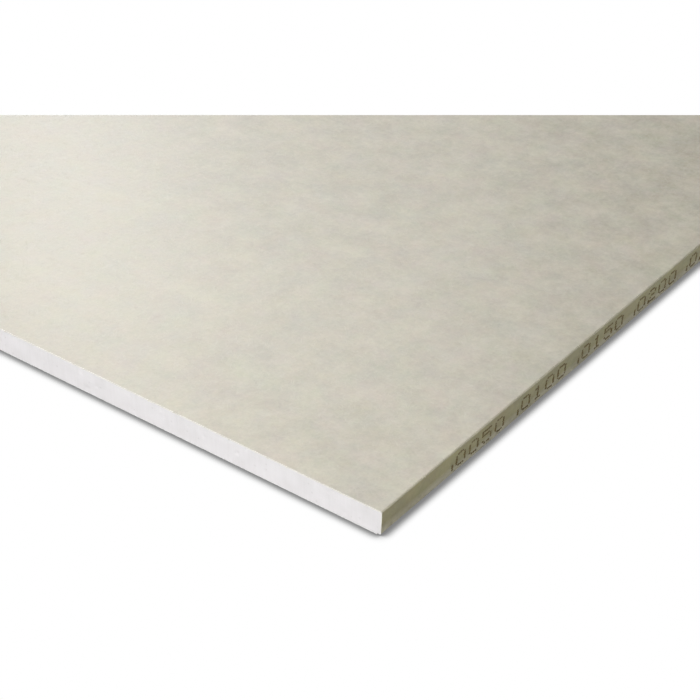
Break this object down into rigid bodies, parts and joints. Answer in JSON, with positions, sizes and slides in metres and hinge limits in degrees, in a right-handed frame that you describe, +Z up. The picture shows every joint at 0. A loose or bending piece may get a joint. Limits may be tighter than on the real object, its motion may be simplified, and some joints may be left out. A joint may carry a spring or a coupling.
{
  "type": "drywall sheet",
  "caption": "Flat gypsum board with a fibre liner wrapped over its face and square long edges, a separate back liner, and bare sawn ends.",
  "frame": {"origin": "middle of the underside, on the back liner", "axes": "+X across the width, +Y along the length and the wrapped long edges, +Z up out of the face"},
  "size_m": [1.25, 2, 0.0125],
  "materials": {
    "gypsum": "matt white set gypsum, sawn at both ends",
    "face_liner": "matt felted fibre liner, greyish beige with faint mottling",
    "back_liner": "matt felted fibre liner, a little darker and coarser than the face"
  },
  "bodies": {
    "root": {"gypsum_core": "gypsum", "face_liner": "face_liner", "back_liner": "back_liner"}
  },
  "joints": []
}
